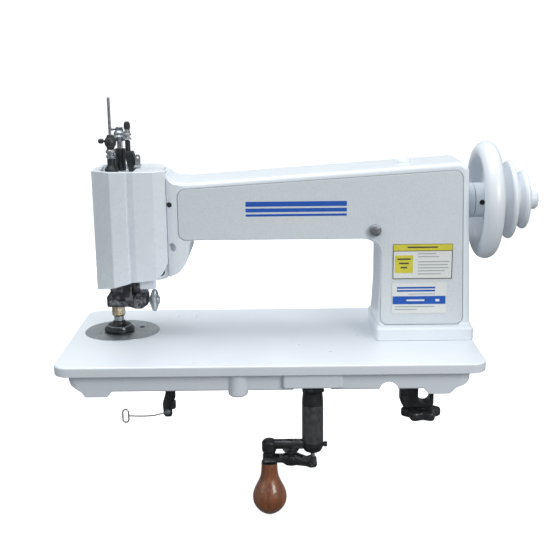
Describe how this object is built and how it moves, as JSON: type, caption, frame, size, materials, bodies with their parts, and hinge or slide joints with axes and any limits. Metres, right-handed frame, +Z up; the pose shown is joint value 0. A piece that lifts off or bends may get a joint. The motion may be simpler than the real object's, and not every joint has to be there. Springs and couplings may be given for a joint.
{
  "type": "hand-steered chain-stitch sewing machine",
  "caption": "Flat-bed chain-stitch machine for leather and heavy cloth: arm and column on a bed, stepped wheel, and a wooden crank handle below that steers the foot.",
  "frame": {"origin": "centre of the bed at the underside of its flange, the height of the table top it hangs in", "axes": "+X towards the handwheel, +Y to the back, +Z up; the needle is at -X"},
  "size_m": [0.5845, 0.248, 0.4986],
  "materials": {
    "white_paint": "gloss stove enamel",
    "panel_paint": "lightly textured enamel",
    "black_steel": "blackened, semi-gloss",
    "grey_steel": "dark machined steel",
    "bright_steel": "polished steel",
    "brass": "dull brass",
    "wood": "varnished reddish hardwood",
    "black_plastic": "moulded, black",
    "label": "printed label"
  },
  "bodies": {
    "machine": {"bed_casting": "white_paint", "arm_casting": "white_paint", "side_cover": "panel_paint", "face_cover": "white_paint", "arm_oil_cap": "white_paint", "data_plate": "label", "instruction_plate": "label", "needle_plate": "grey_steel", "needle_plate_screw": "black_steel", "front_bush": "brass", "rear_bush": "brass", "needle_bar_guide": "black_steel", "spring_collar": "grey_steel", "presser_sleeve": "black_steel", "tension_post": "black_steel", "tension_discs": "bright_steel", "thread_guide": "bright_steel", "crank_bearing": "black_steel", "threader_bracket": "black_steel", "clamp_bracket": "black_steel"},
    "main_shaft": {"main_shaft": "bright_steel", "crank_disc": "grey_steel", "handwheel": "white_paint", "step_pulley": "white_paint", "wheel_nut": "white_paint", "hub_screw": "black_steel"},
    "connecting_rod": {"connecting_rod": "bright_steel"},
    "needle_bar_collar": {"needle_bar_collar": "grey_steel"},
    "needle_bar": {"needle_bar": "bright_steel", "needle": "bright_steel"},
    "head_rotor": {"head_rotor": "grey_steel"},
    "presser": {"presser_bar": "bright_steel", "lower_bracket": "black_steel", "presser_cap": "bright_steel"},
    "foot": {"foot_stem": "grey_steel", "foot_nut": "brass", "feed_foot": "black_steel", "foot_screw": "bright_steel"},
    "regulator": {"regulator_knob": "grey_steel"},
    "crank": {"crank_spindle": "bright_steel", "crank_tube": "black_steel", "crank_arm": "black_steel", "crank_screw": "black_steel", "handle_spindle": "bright_steel"},
    "lift_rod": {"lift_rod": "bright_steel"},
    "lower_lever": {"lower_lever": "black_steel"},
    "handle_collar": {"handle_collar": "black_steel"},
    "handle": {"wooden_handle": "wood"},
    "cross_shaft": {"cross_shaft": "grey_steel"},
    "bed_shaft": {"bed_shaft": "grey_steel"},
    "column_shaft": {"column_shaft": "grey_steel"},
    "steering_shaft": {"steering_shaft": "grey_steel"},
    "looper": {"looper": "bright_steel"},
    "cover_thumb_screw": {"cover_thumb_screw": "black_steel"},
    "star_knob": {"star_knob": "black_plastic"},
    "adjusting_knob": {"adjusting_knob": "black_plastic", "knob_screw": "black_plastic"},
    "tension_nut": {"tension_nut": "black_plastic"},
    "threader_hook": {"threader_hook": "bright_steel"}
  },
  "joints": [
    {"name": "main_shaft_spin", "type": "hinge", "parent": "machine", "child": "main_shaft", "pos_m": [0, 0.025, 0.177], "axis": [1, 0, 0], "continuous": true},
    {"name": "connecting_rod_swing", "type": "hinge", "parent": "main_shaft", "child": "connecting_rod", "pos_m": [-0.181, 0.025, 0.185], "axis": [1, 0, 0], "continuous": true},
    {"name": "needle_bar_slide", "type": "slide", "parent": "machine", "child": "needle_bar_collar", "axis": [0, 0, 1], "range_m": [-0.016, 0]},
    {"name": "needle_bar_turn", "type": "hinge", "parent": "needle_bar_collar", "child": "needle_bar", "pos_m": [-0.194, 0.025, 0.2045], "axis": [0, 0, 1], "continuous": true},
    {"name": "head_rotor_turn", "type": "hinge", "parent": "machine", "child": "head_rotor", "pos_m": [-0.194, 0.025, 0.15], "axis": [0, 0, 1], "continuous": true},
    {"name": "presser_lift", "type": "slide", "parent": "machine", "child": "presser", "axis": [0, 0, 1], "range_m": [0, 0.006], "stiffness_N_per_m": 800, "springref_m": -0.004},
    {"name": "foot_turn", "type": "hinge", "parent": "presser", "child": "foot", "pos_m": [-0.194, 0.025, 0.03], "axis": [0, 0, 1], "continuous": true},
    {"name": "regulator_turn", "type": "hinge", "parent": "presser", "child": "regulator", "pos_m": [-0.15, 0.012, 0.0555], "axis": [1, 0, 0], "range_deg": [-180, 180]},
    {"name": "crank_swivel", "type": "hinge", "parent": "machine", "child": "crank", "pos_m": [0.05, -0.085, -0.052], "axis": [0, 0, 1], "continuous": true},
    {"name": "handle_press", "type": "slide", "parent": "crank", "child": "handle_collar", "axis": [0, 0, 1], "range_m": [-0.003, 0], "stiffness_N_per_m": 150, "springref_m": 0.004},
    {"name": "handle_spin", "type": "hinge", "parent": "handle_collar", "child": "handle", "pos_m": [-0.0025, -0.085, -0.125], "axis": [0, 0, 1], "continuous": true},
    {"name": "lower_lever_rock", "type": "hinge", "parent": "crank", "child": "lower_lever", "pos_m": [0.024, -0.085, -0.1185], "axis": [0, 1, 0], "range_deg": [-7, 0.5]},
    {"name": "lift_rod_slide", "type": "slide", "parent": "crank", "child": "lift_rod", "axis": [0, 0, 1], "range_m": [-0.0002, 0.003]},
    {"name": "cross_shaft_turn", "type": "hinge", "parent": "machine", "child": "cross_shaft", "pos_m": [0.05, -0.03, -0.01], "axis": [0, 1, 0], "continuous": true},
    {"name": "bed_shaft_turn", "type": "hinge", "parent": "machine", "child": "bed_shaft", "pos_m": [0, 0.025, -0.01], "axis": [1, 0, 0], "continuous": true},
    {"name": "column_shaft_turn", "type": "hinge", "parent": "machine", "child": "column_shaft", "pos_m": [0.19, 0.025, 0.07], "axis": [0, 0, 1], "continuous": true},
    {"name": "steering_shaft_turn", "type": "hinge", "parent": "machine", "child": "steering_shaft", "pos_m": [0, 0.025, 0.15], "axis": [1, 0, 0], "continuous": true},
    {"name": "looper_turn", "type": "hinge", "parent": "machine", "child": "looper", "pos_m": [-0.194, 0.025, 0], "axis": [0, 0, 1], "continuous": true},
    {"name": "cover_screw_turn", "type": "hinge", "parent": "machine", "child": "cover_thumb_screw", "pos_m": [0.1283, -0.0207, 0.1485], "axis": [0, 1, 0], "range_deg": [0, 360]},
    {"name": "star_knob_turn", "type": "hinge", "parent": "machine", "child": "star_knob", "pos_m": [0.183, -0.06, -0.0623], "axis": [0, 0, 1], "range_deg": [0, 360]},
    {"name": "adjusting_knob_turn", "type": "hinge", "parent": "machine", "child": "adjusting_knob", "pos_m": [-0.194, 0.025, 0.2446], "axis": [0, 0, 1], "range_deg": [-30, 90]},
    {"name": "tension_nut_turn", "type": "hinge", "parent": "machine", "child": "tension_nut", "pos_m": [-0.1735, 0.03, 0.2683], "axis": [0, 0, 1], "range_deg": [0, 360]},
    {"name": "threader_swing", "type": "hinge", "parent": "machine", "child": "threader_hook", "pos_m": [-0.1255, -0.0639, -0.065], "axis": [0, 1, 0], "range_deg": [-20, 20]}
  ],
  "couplings": [
    {"joint": "connecting_rod_swing", "follows": "main_shaft_spin", "ratio": -1},
    {"joint": "cross_shaft_turn", "follows": "crank_swivel", "ratio": 1},
    {"joint": "bed_shaft_turn", "follows": "crank_swivel", "ratio": -1},
    {"joint": "column_shaft_turn", "follows": "crank_swivel", "ratio": -1},
    {"joint": "steering_shaft_turn", "follows": "crank_swivel", "ratio": 1},
    {"joint": "looper_turn", "follows": "crank_swivel", "ratio": 1},
    {"joint": "head_rotor_turn", "follows": "crank_swivel", "ratio": 1},
    {"joint": "needle_bar_turn", "follows": "crank_swivel", "ratio": 1},
    {"joint": "foot_turn", "follows": "crank_swivel", "ratio": 1},
    {"joint": "lower_lever_rock", "follows": "handle_press", "rad_per_m": 37.7},
    {"joint": "lift_rod_slide", "follows": "handle_press", "ratio": -0.981}
  ]
}
